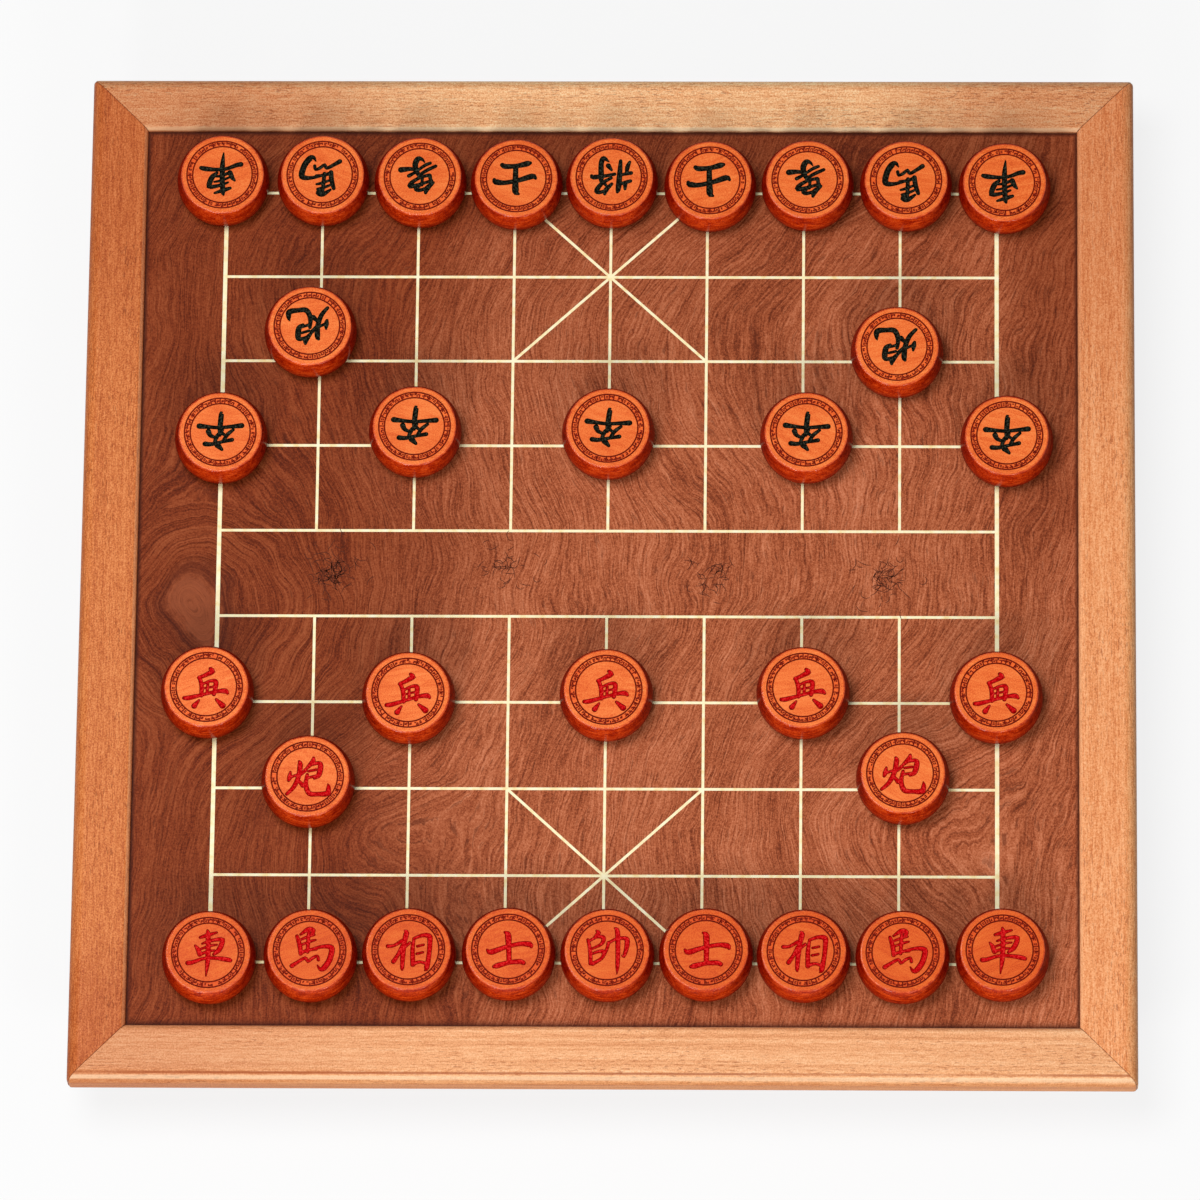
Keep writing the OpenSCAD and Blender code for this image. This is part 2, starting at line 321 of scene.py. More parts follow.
def panel_material():
    """Dark figured wood: the grain runs round a large knot by the left rail and in waves elsewhere."""
    s = Shader("panel_wood")
    place = s.object_coords()
    sway = s.drift(place, 6.0, 2, (0.045, 0.03))
    ripple = s.drift(place, 48.0, 3, (0.0042, 0.0042), 0.55)
    bent = s.vector("ADD", place, s.vector("ADD", sway, ripple))
    x, y, _ = s.split(bent)

    # Contours of this sum are the grain lines: rings inside the knot, a flow that parts round it
    # outside, and lines that lean to the right farther away
    unrest = s.drift(place, 30.0, 1, (0.016, 0.016))
    from_knot = s.vector("ADD", s.vector("SUBTRACT", bent, (*KNOT_PLACE, 0.0)), unrest)
    knot_x, knot_y, _ = s.split(from_knot)
    ring_place = s.vector("MULTIPLY", from_knot, (1 / KNOT_REACH[0], 1 / KNOT_REACH[1], 0.0))
    ring = s.math("MAXIMUM", s.vector("LENGTH", ring_place), 0.05)
    flow = s.minus(1.0, s.math("POWER", ring, -2.0))
    flow = s.times(s.times_add(knot_y, GRAIN_LEAN, knot_x), flow)
    inside = s.math("LESS_THAN", ring, 1.0)
    narrow = s.math("DIVIDE", 1.0, s.span(ring, 0.0, 1.0, 0.62, 1.0, smooth=False))
    oval = s.vector("LENGTH", s.vector("MULTIPLY", ring_place, s.join(narrow, 1.0, 0.0)))
    rings = s.times(s.minus(oval, 1.0), KNOT_RINGS)
    field = s.math("ADD", s.times(inside, rings), s.times(s.minus(1.0, inside), flow))
    for centre, reach, rise in PANEL_SWELLS:
        across = s.math("DIVIDE", s.minus(x, centre[0]), reach[0])
        up = s.math("DIVIDE", s.minus(y, centre[1]), reach[1])
        square = s.times_add(across, across, s.times(up, up))
        swell = s.math("POWER", math.e, s.times(square, -1.0))
        field = s.times_add(swell, rise, field)
    teeth = s.noise(place, (300, 50, 1), 2, 0.6)
    field = s.vary(field, (teeth, 0.0018))
    stream = s.join(field, y)
    broad = s.noise(stream, (30, 7, 1), 3, 0.55)
    lines = s.noise(stream, (210, 14, 1), 5, 0.75, shift=(3, 0, 0))
    fine = s.noise(stream, (1000, 44, 1), 3, 0.7, shift=(1, 4, 0))
    grit = s.noise(place, 1500.0, 2, 0.8)
    px, py, _ = s.split(place)
    cloud = s.minus(s.noise(place, 9.0, 2, 0.5), 0.5)
    far_lean = s.times_add(s.math("MAXIMUM", py, 0.0), -0.13, px)
    left = s.span(s.times_add(cloud, 0.13, far_lean), -0.036, -0.138)
    # The lines stand out most round the knot
    depth = s.span(ring, 1.0, 2.6, 0.38, 0.10)
    tone = s.vary(0.5, (lines, depth), (fine, 0.32), (grit, 0.30), (broad, 0.14))
    colour = s.ramp(tone, [
        (0.42, srgb(112, 48, 24)), (0.47, srgb(154, 75, 42)), (0.52, srgb(184, 101, 64)),
        (0.60, srgb(214, 133, 96)),
    ])
    # Growth lines: thin dark contours of the field, broken up along their length
    wander = s.noise(place, 20.0, 2, 0.5)
    phase = s.times_add(field, 100.0, s.times(wander, 1.6))
    away = s.math("ABSOLUTE", s.minus(s.math("FRACT", phase), 0.5))
    patch = s.span(s.noise(stream, (50, 16, 1), 2, shift=(8, 2, 0)), 0.44, 0.64)
    line = s.times(s.span(away, 0.08, 0.0), s.times(patch, 0.65))
    colour = s.stain(line, colour, (0.50, 0.38, 0.30))
    # The board is darker on the left, along the far side, and far right, and a little darker on the near
    # side; along the far rail it is darker with painted shade from the back row of pieces
    far = s.span(s.times_add(cloud, 0.16, py), 0.05, 0.18)
    inner = s.span(px, 0.185, 0.155)
    # Painted shade from the back row of pieces along the far rail
    strip = s.times(s.span(py, 0.150, 0.186), inner)
    near = s.times(s.span(s.times_add(cloud, 0.10, py), -0.10, -0.18), inner)
    right = s.times(s.span(px, 0.160, 0.190), s.span(py, -0.03, 0.04))
    below_knot = s.vector("LENGTH", s.vector("SUBTRACT", place, (*SHADE_PLACE, PANEL_TOP)))
    below_knot = s.span(below_knot, 0.045, 0.012)
    gloom = s.times(left, 0.88)
    for area, share in ((far, 0.34), (strip, 0.46), (near, 0.24), (right, 0.46), (below_knot, 0.3)):
        gloom = s.math("MULTIPLY_ADD", area, share, gloom, clamp=True)
    gloom = s.math("MINIMUM", gloom, 0.9)
    colour = s.stain(gloom, colour, (0.47, 0.29, 0.15))
    heart = s.vector("MULTIPLY", from_knot, (1 / HEART_REACH[0], 1 / HEART_REACH[1], 0.0))
    heart = s.vector("LENGTH", heart)
    ragged = s.minus(s.noise(place, (150, 110, 1), 3, 0.7), 0.5)
    heart = s.times_add(ragged, 1.1, heart)
    shell = s.times(s.span(heart, 0.80, 1.15), s.span(heart, 1.9, 1.2))
    colour = s.mix(s.times(shell, 0.42), colour, srgb(84, 34, 18))
    colour = s.mix(s.span(heart, 1.20, 0.65, 0.0, 0.74), colour, srgb(150, 78, 48))
    pores = s.span(s.noise(stream, (1300, 120, 1), 2, shift=(3, 1, 0)), 0.56, 0.69)
    colour = s.mix(s.times(pores, 0.48), colour, srgb(80, 30, 14))
    # Painted shade along the foot of the frame, where the rails' lips overhang the panel
    rim = s.span(s.farther(px, py), PANEL_SEEN - 0.0022, PANEL_SEEN - 0.0002, 0.0, 0.8)
    colour = s.mix(rim, colour, srgb(52, 16, 8))
    height = s.minus(s.times(fine, 0.8), pores)
    return s.finish(colour, 0.5, s.bump(height, 0.00006, 0.6), Specular_IOR_Level=0.06)


def inlay_material():
    """Pale inlaid strips with faint cross grain and a few darker spots."""
    s = Shader("inlay_wood")
    place = s.object_coords()
    grain = s.noise(place, (260, 260, 1), 3, 0.6)
    spots = s.noise(place, 60.0, 2, 0.5)
    colour = s.ramp(grain, [
        (0.3, srgb(248, 222, 158)), (0.5, srgb(255, 244, 198)), (0.7, srgb(255, 250, 218)),
    ])
    colour = s.mix(s.span(spots, 0.55, 0.8, 0.0, 0.35), colour, srgb(226, 190, 132))
    return s.finish(colour, 0.4, s.bump(grain, 0.00004, 0.4), Specular_IOR_Level=0.1)


def piece_material():
    """Orange wood of the pieces' faces, satin, with faint figure that differs from piece to piece."""
    s = Shader("piece_face")
    grain = s.attribute("grain", "Vector")
    sway = s.noise(grain, (40, 90, 90), 2, 0.5, 0.8)
    figure = s.noise(grain, (90, 700, 700), 3, 0.65, 0.5)
    grit = s.noise(grain, 2000.0, 2, 0.8)
    tone = s.times(sway, 0.2)
    tone = s.times_add(figure, 0.27, tone)
    tone = s.times_add(grit, 0.53, tone)
    tint = s.attribute("tint")
    colour = s.ramp(tone, [
        (0.38, srgb(216, 86, 28)), (0.5, srgb(243, 116, 50)), (0.62, srgb(255, 146, 76)),
    ])
    shade = [s.span(tint, 0.0, 1.0, low, 1.0, smooth=False) for low in (0.80, 0.56, 0.30)]
    colour = s.mix(1.0, colour, s.join(*shade), "MULTIPLY")
    colour = s.stain(s.attribute("band"), colour, (1.0, 0.78, 0.60))
    normal = s.bump(s.math("ADD", grit, figure), 0.00004, 0.5)
    return s.finish(colour, 0.42, normal, Specular_IOR_Level=0.1)


def flank_material():
    """The same wood on the turned flank, stained deep red and lacquered, with fine turning lines, and
    painted shade towards its foot and on its sides and back.
    """
    s = Shader("piece_flank")
    grain = s.attribute("grain", "Vector")
    place = s.object_coords()
    _, _, z = s.split(place)
    figure = s.noise(grain, (120, 500, 500), 3, 0.65, 0.5)
    lines = s.noise(place, (120, 120, 1400), 3, 0.7)
    speck = s.noise(grain, 1500.0, 2, 0.8)
    tone = s.vary(0.5, (figure, 0.4), (lines, 0.35), (speck, 0.4))
    deep = s.ramp(tone, [(0.40, srgb(138, 20, 1)), (0.5, srgb(184, 44, 3)), (0.60, srgb(220, 78, 22))])
    # Painted shade: the flank darker towards its foot
    lower = s.mix(1.0, deep, (0.36, 0.18, 0.2, 1), "MULTIPLY")
    warm = s.ramp(tone, [(0.40, srgb(188, 52, 12)), (0.60, srgb(240, 108, 48))])
    colour = s.mix(s.span(z, 0.003, 0.011), lower, deep)
    # Painted shade on the sides and back of the flank
    colour = s.stain(s.attribute("painted_side_shade"), colour, (0.50, 0.22, 0.3))
    # The stain is worn off along the upper edge
    colour = s.mix(s.span(z, 0.0157, 0.0159), colour, warm)
    normal = s.bump(lines, 0.00001, 0.3)
    return s.finish(colour, 0.35, normal, Specular_IOR_Level=0.0, Coat_Weight=0.35, Coat_Roughness=0.18)


def groove_material():
    """Burnt brown-red colour in the rings and the key pattern."""
    s = Shader("piece_groove")
    grit = s.noise(s.object_coords(), 1600.0, 2, 0.6)
    colour = s.ramp(grit, [(0.35, srgb(92, 14, 4)), (0.65, srgb(140, 32, 12))])
    return s.finish(colour, 0.6, Specular_IOR_Level=0.05)


def ink_material(name, edge, dark, main, light):
    """Paint in the carved strokes, with painted shade along their edges and painted glints where its clots
    are lightest.
    """
    s = Shader(name)
    clots_and_glints = s.noise(s.object_coords(), 1100.0, 2, 0.7)
    # The lightest clots are painted glints
    colour = s.ramp(clots_and_glints, [(0.36, dark), (0.5, main), (0.66, light)])
    # Painted shade along the edges of the grooves
    colour = s.mix(s.span(s.attribute("cut"), 0.1, 0.75), edge, colour)
    return s.finish(colour, 0.4, s.bump(clots_and_glints, 0.0001, 0.7), Specular_IOR_Level=0.015)


def felt_material():
    s = Shader("felt")
    place = s.object_coords()
    fuzz = s.noise(place, 1800.0, 4, 0.7)
    colour = s.ramp(fuzz, [(0.3, srgb(30, 26, 24)), (0.7, srgb(74, 66, 60))])
    return s.finish(colour, 0.95, s.bump(fuzz, 0.0002, 0.9), Sheen_Weight=0.5)


# Mesh helpers

def new_object(name, data, materials=()):
    made = bpy.data.objects.new(name, data)
    bpy.context.scene.collection.objects.link(made)
    for material in materials:
        data.materials.append(material)
    return made


def even_shading(piece):
    """Lets the large faces set the shading, so that the eased edges don't bend it."""
    piece.modifiers.new("normals", "WEIGHTED_NORMAL").keep_sharp = True


def smooth_below(bm, angle):
    """Faces turned outward and shaded smooth, but for edges that turn by more than an angle in degrees."""
    bmesh.ops.recalc_face_normals(bm, faces=bm.faces)
    for face in bm.faces:
        face.smooth = True
    for edge in bm.edges:
        edge.smooth = edge.calc_face_angle(0) < math.radians(angle)


def store(mesh, name, values):
    """Stores a number at each vertex, for the materials."""
    mesh.attributes.new(name, "FLOAT", "POINT").data.foreach_set("value", values)


def set_grain(mesh, points):
    """Stores where each vertex lies in its board, for the wood materials."""
    attribute = mesh.attributes.new("grain", "FLOAT_VECTOR", "POINT")
    attribute.data.foreach_set("vector", np.asarray(points, np.float32).ravel())


# Frame rails

RAIL_ROUND = 0.006
RAIL_INNER_ROUND = 0.0025
RAIL_UNDER_ROUND = 0.0015
MITRE_EASE = 0.0002
CORNER_ROUND = 0.002
PANEL_GROOVE = 0.005
# Height up to which painted shade darkens the foot of the inner lip
LIP_SHADE_HEIGHT = 0.0014
# Strength of the same dark colour along the mitres, where it stands for dark joints
MITRE_SHADE = 0.6
# Heights above the panel between which a painted highlight lies on the inner lip of the rails
LIP_LOW = 0.0015
LIP_HIGH = 0.0027


def arc(centre, radius, start, end, count):
    """Points on an arc, angles in degrees."""
    turns = np.radians(np.linspace(start, end, count))
    return [(centre[0] + radius * math.cos(a), centre[1] + radius * math.sin(a)) for a in turns]


def rail_section():
    """Outline of a rail: across from its outer edge, and up from its underside."""
    high = RAIL_TOP - RAIL_LOW
    panel_low, panel_high = (corner.z - RAIL_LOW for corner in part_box("playing_panel"))
    groove = RAIL_W - PANEL_GROOVE
    return [
        (RAIL_W, 0.0), (RAIL_W, panel_low), (groove, panel_low),
        (groove, panel_high), (RAIL_W, panel_high),
        *arc((RAIL_W - RAIL_INNER_ROUND, high - RAIL_INNER_ROUND), RAIL_INNER_ROUND, 0, 90, 7),
        *arc((RAIL_ROUND, high - RAIL_ROUND), RAIL_ROUND, 90, 180, 11),
        *arc((RAIL_UNDER_ROUND, RAIL_UNDER_ROUND), RAIL_UNDER_ROUND, 180, 270, 5),
    ]


def shrunk(points, step):
    """The outline moved inwards by a step, point by point."""
    moved = []
    count = len(points)
    for i, point in enumerate(points):
        before = Vector(point) - Vector(points[i - 1])
        after = Vector(points[(i + 1) % count]) - Vector(point)
        inward = Vector((-before.y, before.x)).normalized() + Vector((-after.y, after.x)).normalized()
        turn = before.normalized().dot(after.normalized())
        moved.append(tuple(Vector(point) + inward * step / max(0.5, 1 + turn)))
    return moved


def rail_ends(section):
    """Loops of (inset from the end, across, up) that close a rail: a small round at the outer corner of
    the frame, and a fine ease along the mitre."""
    loops = []
    for angle in (None, 45, 30, 15, 0):
        outline = shrunk(section, MITRE_EASE) if angle is None else section
        turn = math.radians(45 if angle is None else angle)
        back = MITRE_EASE * (len(loops) + 1) / 2 if loops else 0.0
        loop = []
        for across, up in outline:
            share = max(0.0, 1 - across / CORNER_ROUND)
            drawn = across + share * CORNER_ROUND * (1 - math.cos(turn))
            inset = share * CORNER_ROUND * (math.cos(turn) - math.sin(turn))
            loop.append((drawn + max(back, inset), drawn, up))
        loops.append(loop)
    return loops


def make_rail(name, turn, half_length, half_across, material, seed):
    """Mitred rail with a fine ease along both mitres. turn brings the near rail to its side."""
    section = rail_section()
    ends = rail_ends(section)
    loops = [[(inset - half_length, across, up) for inset, across, up in loop] for loop in ends]
    loops += [[(half_length - inset, across, up) for inset, across, up in loop] for loop in reversed(ends)]
    mesh = bpy.data.meshes.new(name)
    bm = bmesh.new()
    rows = [
        [bm.verts.new((x, across - half_across, RAIL_LOW + up)) for x, across, up in loop]
        for loop in loops
    ]
    count = len(section)
    for low, high in zip(rows, rows[1:]):
        for i in range(count):
            j = (i + 1) % count
            bm.faces.new((low[i], low[j], high[j], high[i]))
    bm.faces.new(rows[0])
    bm.faces.new(list(reversed(rows[-1])))
    smooth_below(bm, 30)
    rng = random.Random(seed)
    shift = Vector([rng.uniform(-3, 3) for _ in range(3)])
    bm.verts.ensure_lookup_table()
    places = [vertex.co + shift for vertex in bm.verts]
    lip_shades_and_joints = []
    lip_highlights = []
    for i, vertex in enumerate(bm.verts):
        above = vertex.co.z - PANEL_TOP
        lip = half_across + vertex.co.y > RAIL_W - RAIL_INNER_ROUND and above > -0.0005
        step = min(i // count, len(loops) - 1 - i // count)
        mitre = MITRE_SHADE if step < 2 else 0.0
        # Painted shade at the foot of the inner lip; dark joint colour along the mitres
        lip_shades_and_joints.append(max(mitre, 1 - above / LIP_SHADE_HEIGHT if lip else 0.0))
        # Painted highlight on the inner lip, between two heights above the panel
        lip_highlights.append(1.0 if lip and LIP_LOW < above < LIP_HIGH else 0.0)
    bmesh.ops.rotate(bm, verts=bm.verts, cent=(0, 0, 0), matrix=Matrix.Rotation(turn, 3, "Z"))
    bm.to_mesh(mesh)
    bm.free()
    set_grain(mesh, places)
    store(mesh, "lip_shade_and_joint", lip_shades_and_joints)
    store(mesh, "lip", lip_highlights)
    rail = new_object(name + "_wood", mesh, [material])
    even_shading(rail)
    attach(rail, "box")
    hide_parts(name)


# Carved faces of the pieces: flat drawings in millimetres, x to the right and y up for the reader

# The name of each character, then its brush strokes, one to a line: x, y and the width of the stroke at
# the points of its path, in tenths of a millimetre
STROKES = """
chariot
-36 70 12, -4 80 17, 38 93 9
-4 103 9, -1 85 18, 1 20 19, -1 -50 18, -7 -109 6
-58 32 9, -46 16 17, -36 -9 19
-26 41 9, 10 54 13, 56 61 17, 64 49 19, 49 12 20, 26 -9 12
-39 13 9, 5 30 11, 39 36 8
-32 -8 13, 4 6 12, 30 9 9
-89 -49 19, -68 -46 17, -20 -29 14, 30 -26 15, 82 -32 19, 101 -37 16
horse
-56 69 14, -44 25 18, -40 -13 17
-40 76 10, -5 99 19, 16 92 20, 10 74 12
-39 52 10, -5 66 12, 22 73 10
-36 28 10, 4 43 12, 27 49 9
-3 94 12, -6 40 15, -9 -6 14
-40 -10 15, -5 3 13, 30 6 12
2 3 12, 48 16 14, 84 17 19, 100 4 22, 88 -46 22, 63 -82 22, 46 -86 15, 34 -68 5
-80 -69 18, -60 -56 15, -20 -34 13, -8 -50 12, 14 -34 13, 34 -26 11, 39 -44 13
elephant_red
-92 16 16, -65 19 13, -30 40 15, -8 50 9
-16 88 10, -10 78 21, -18 34 19, -24 -26 19, -26 -86 15, -23 -96 5
-28 18 14, -46 -24 15, -66 -56 18
-20 6 10, 6 32 13
24 46 12, 19 0 17, 21 -69 19
24 52 12, 64 67 16, 93 62 21, 96 30 19, 92 -30 18, 83 -84 20, 76 -96 8
40 16 11, 68 23 10
38 -19 11, 66 -12 10
24 -66 16, 52 -57 13, 80 -64 13
advisor
-93 -2 11, -76 -12 22, -10 10 18, 56 24 18, 96 20 23, 104 10 14
-14 79 10, 0 66 24, 3 10 21, 4 -56 19
-64 -80 14, -49 -76 22, 0 -63 18, 52 -59 20, 69 -66 17
general_red
-44 92 10, -36 83 18, -52 64 12
-84 52 12, -76 10 15, -74 -58 17
-78 46 11, -40 64 13, -14 58 18, -24 30 14, -68 9 10
-70 -16 11, -36 -4 13, -14 -8 18, -24 -36 14, -66 -61 16
-10 -19 11, 2 12 13, 8 36 14
8 34 12, 44 52 13, 82 54 17, 92 40 20, 86 0 17, 74 -30 13, 66 -24 5
38 102 9, 49 86 19, 49 0 18, 46 -70 16, 42 -112 4
cannon
-76 22 9, -79 -2 19, -84 -19 12
-36 70 12, -32 56 20, -38 4 19, -60 -48 17, -92 -82 13
-26 8 9, -8 30 16
-42 -16 11, -20 -42 19
-82 -6 12, -44 9 11, -16 24 10
28 86 12, 24 68 20, -4 36 12
16 54 12, 50 62 16, 60 48 21, 52 6 20, 32 -9 12
6 24 11, 40 31 11
4 -6 12, 40 2 11
0 8 13, -6 -40 18, 10 -80 20, 50 -84 18, 90 -80 22, 96 -52 16, 93 -36 5
soldier_red
14 86 15, 22 74 22, -6 56 17, -36 42 15
-34 44 15, -22 6 17, -20 -42 16
-22 10 11, 16 28 13, 42 23 19, 36 -34 16
6 18 11, 5 -30 13
-19 -9 9, 32 2 10
-97 -56 16, -74 -54 19, -10 -36 14, 52 -19 16, 86 -17 21, 97 -26 13
-30 -64 9, -50 -92 22
48 -58 12, 78 -86 24
elephant_black
-28 84 12, -34 62 21, -64 32 12
-36 58 12, 2 70 15, 16 59 20, -6 36 13
-56 22 13, 0 40 13, 44 49 18, 38 30 16, -4 4 13, -46 -6 14
-54 32 12, -48 -4 15
-10 44 11, -12 8 12
-6 8 13, 14 -24 18, 22 -62 21, 8 -90 20, -12 -86 12, -24 -70 4
4 -6 12, -32 -30 14, -76 -52 13
12 -30 11, -24 -56 13, -50 -68 12
52 -4 15, 22 -22 12
14 -32 11, 46 -39 16, 90 -35 22
general_black
-30 76 12, -34 56 20, -38 -20 19, -40 -82 13
-66 60 11, -66 30 18
-90 19 14, -60 29 14, -36 38 11
-92 -22 15, -64 -16 13, -38 -8 10
-70 -16 11, -74 -52 17, -84 -78 11
30 88 12, 24 66 18, -2 36 12
20 69 12, 58 81 15, 68 69 19, 44 34 15, 2 6 12
24 46 10, 34 34 13
-14 -14 13, 30 -4 14, 86 4 19, 96 -3 12
50 26 12, 50 4 20, 52 -68 19, 40 -92 19, 16 -76 5
2 -34 10, 18 -56 19
soldier_black
-8 88 12, 12 66 23
-56 40 16, -10 49 13, 42 60 16, 72 58 19
-16 42 13, -34 14 15, -62 -10 12
-26 19 10, -6 4 15
26 50 13, 14 20 16, -12 -9 10
20 29 11, 46 16 16, 56 -4 20
2 16 13, 0 -30 19, -6 -90 18, -8 -98 8
-102 -30 20, -50 -26 15, 0 -22 14, 50 -26 15, 99 -32 21
"""
GLYPHS = {}
for line in STROKES.strip().splitlines():
    if line.isidentifier():
        glyph = GLYPHS[line] = []
    else:
        glyph.append([tuple(int(number) / 10 for number in spot.split()) for spot in line.split(",")])

PIECE_LOW, PIECE_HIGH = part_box("red_general")
PIECE_H = (PIECE_HIGH.z - PIECE_LOW.z) / MM
PIECE_R = (PIECE_HIGH.x - PIECE_LOW.x) / 2 / MM
FLANK_SWELL = 2.25
FLANK_R = ((PIECE_H / 2) ** 2 + FLANK_SWELL ** 2) / (2 * FLANK_SWELL)
SHOULDER_R = 0.9
FOOT_ROUND = 0.8
FOOT_BORDER = 1.0
AROUND = 96

RING_INNER = 13.1
RING_OUTER = 15.6
RINGS = (RING_INNER, RING_OUTER)
RING_PEN = 0.68
RING_DEPTH = 0.35
FRET_UNITS = 44
FRET_PEN = 0.56
# No point of a mark lies farther than this from its middle
FRET_REACH = 2.5
# Share of the marks that are left out
FRET_MISSING = 0.08
STROKE_STEP = 0.6
STROKE_DEPTH = 0.6
# Greatest depth of a groove, as a share of its half width
GROOVE_STEEP = 0.55

# Key pattern: marks of one unit, as (share of the unit, share of the band)
FRET_MARKS = [
    [[(0.0, 0.0), (0.0, 1.0)], [(0.28, 0.3), (0.28, 0.74), (0.72, 0.74), (0.72, 0.42)]],
    [[(0.0, 0.0), (0.0, 1.0)], [(0.26, 0.3), (0.74, 0.3)], [(0.26, 0.68), (0.74, 0.68)]],
    [[(0.0, 0.0), (0.0, 0.62), (0.5, 0.62)], [(0.32, 0.28), (0.78, 0.28)], [(0.72, 0.52), (0.72, 1.0)]],
    [[(0.0, 0.0), (0.0, 1.0)], [(0.3, 0.26), (0.3, 0.7)], [(0.56, 0.7), (0.56, 0.26), (0.8, 0.26)]],
    [[(0.0, 0.4), (0.0, 1.0)], [(0.26, 0.72), (0.74, 0.72), (0.74, 0.28), (0.4, 0.28)]],
]


def brush_path(points, weight):
    """Smooth path through the points of a stroke: places and half widths."""
    rows = [np.array(row, float) for row in (points[0], *points, points[-1])]
    path = []
    for a, b, c, d in zip(rows, rows[1:], rows[2:], rows[3:]):
        count = max(2, round(float(np.hypot(*(c - b)[:2])) / STROKE_STEP))
        for t in np.linspace(0, 1, count, endpoint=False):
            path.append(0.5 * (2 * b + (c - a) * t + (2 * a - 5 * b + 4 * c - d) * t * t
                               + (3 * b - a - 3 * c + d) * t ** 3))
    path.append(rows[-1])
    path = np.array(path)
    return path[:, :2], path[:, 2] / 2 * weight


def sides(path, half, share=1.0):
    """The two lines beside a path, at a share of its half widths."""
    steps = np.diff(path, axis=0)
    steps /= np.linalg.norm(steps, axis=1, keepdims=True)
    normals = np.column_stack((-steps[:, 1], steps[:, 0]))
    before = np.vstack((normals[:1], normals))
    after = np.vstack((normals, normals[-1:]))
    mitre = (before + after) / np.maximum(0.7, 1 + (before * after).sum(1))[:, None]
    out = mitre * (half * share)[:, None]
    return path + out, path - out


def round_end(centre, corner, count=5):
    """Points of the half circle from a corner round the end of a stroke, clockwise, ends left out."""
    arm = corner - centre
    turns = -np.pi * np.arange(1, count + 1) / (count + 1)
    return np.array([
        centre + (arm[0] * math.cos(a) - arm[1] * math.sin(a), arm[0] * math.sin(a) + arm[1] * math.cos(a))
        for a in turns
    ])


def stroke_outline(path, half, rounded):
    """Closed outline of a stroke, with round or square ends."""
    left, right = sides(path, half)
    if not rounded:
        return np.vstack((left, right[::-1]))
    return np.vstack((left, round_end(path[-1], left[-1]), right[::-1], round_end(path[0], right[0])))


def inside(points, outline):
    """Whether each point lies in a closed outline, also where the outline laps over itself."""
    x, y = points[:, :1], points[:, 1:]
    ax, ay = outline[:, 0], outline[:, 1]
    bx, by = np.roll(ax, -1), np.roll(ay, -1)
    side = (bx - ax) * (y - ay) - (x - ax) * (by - ay)
    rising = (ay <= y) & (by > y) & (side > 0)
    falling = (ay > y) & (by <= y) & (side < 0)
    return rising.sum(1) != falling.sum(1)


def carved_depth(points, path, half, step=250):
    """Depth of a round-bottomed groove along a path, at each point."""
    a, b = path[:-1], path[1:]
    reach = b - a
    found = np.zeros(len(points))
    for start in range(0, len(points), step):
        place = points[start:start + step, None]
        t = np.clip(((place - a) * reach).sum(2) / (reach ** 2).sum(1), 0, 1)
        gap = np.linalg.norm(place - a - t[..., None] * reach, axis=2)
        width = half[:-1] + t * (half[1:] - half[:-1])
        share = np.sqrt(np.clip(1 - (gap / width) ** 2, 0, 1))
        found[start:start + step] = (share * np.minimum(STROKE_DEPTH, GROOVE_STEEP * width)).max(1)
    return found


def fret_paths(rng):
    """Marks of the key pattern between the two rings, with some units left out of step."""
    low = RING_INNER + RING_PEN / 2
    high = RING_OUTER - RING_PEN / 2
    unit = 2 * math.pi / FRET_UNITS
    paths = []
    for i in range(FRET_UNITS):
        for mark in rng.choice(FRET_MARKS):
            if rng.random() < FRET_MISSING:
                continue
            spots = []
            for along, across in mark:
                angle = (i + along) * unit
                radius = low + (high - low) * across
                spots.append((radius * math.cos(angle), radius * math.sin(angle)))
            paths.append(np.array(spots))
    return paths


def piece_profile():
    """Turned outline from the rim of the flat face down to the underside, as (radius, height)."""
    middle = PIECE_H / 2
    inner = PIECE_R - FLANK_R
    top = PIECE_H - SHOULDER_R
    top_r = inner + math.sqrt((FLANK_R - SHOULDER_R) ** 2 - (top - middle) ** 2)
    foot_r = inner + math.sqrt((FLANK_R - FOOT_ROUND) ** 2 - (FOOT_ROUND - middle) ** 2)
    high = math.degrees(math.atan2(top - middle, top_r - inner))
    low = math.degrees(math.atan2(FOOT_ROUND - middle, foot_r - inner))
    return [
        *arc((top_r, top), SHOULDER_R, 90, high, 8),
        *arc((inner, middle), FLANK_R, high, low, 12)[1:],
        *arc((foot_r, FOOT_ROUND), FOOT_ROUND, low, -90, 5)[1:],
        (foot_r - FOOT_BORDER, 0.0),
    ]


def circle(radius):
    turns = np.arange(AROUND) * 2 * np.pi / AROUND
    return np.column_stack((np.cos(turns), np.sin(turns))) * radius


# Materials of a piece
FACE, FLANK, GROOVE, INK = range(4)


